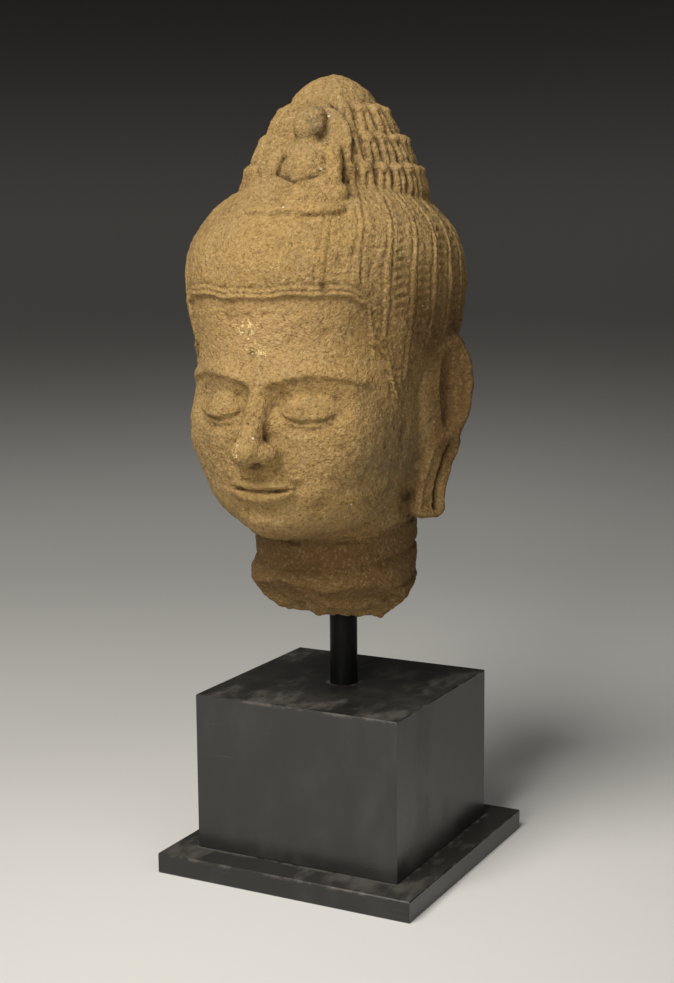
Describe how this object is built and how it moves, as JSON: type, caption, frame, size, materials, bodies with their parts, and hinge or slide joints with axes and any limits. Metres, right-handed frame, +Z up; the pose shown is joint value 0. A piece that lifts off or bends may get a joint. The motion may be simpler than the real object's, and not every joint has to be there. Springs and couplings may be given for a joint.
{
  "type": "stone buddha head",
  "caption": "Carved sandstone head with a corded hair cap, a petalled topknot holding a small seated figure, and a broken neck, held by a rod on a black block stand.",
  "frame": {"origin": "centre of the slab's underside, on the axis of the rod", "axes": "+Z up, the face looks along -Y, +X to the head's own left"},
  "size_m": [0.1592, 0.1932, 0.448],
  "materials": {
    "sandstone": "matte granular carved sandstone, tan to ochre, worn and dusty",
    "rod": "matte black paint on steel",
    "block": "satin black paint on wood, dusty and scuffed",
    "slab": "satin black paint on wood, dusty and scuffed"
  },
  "bodies": {
    "root": {"stone_head": "sandstone", "support_rod": "rod", "base_block": "block", "base_slab": "slab"}
  },
  "joints": []
}
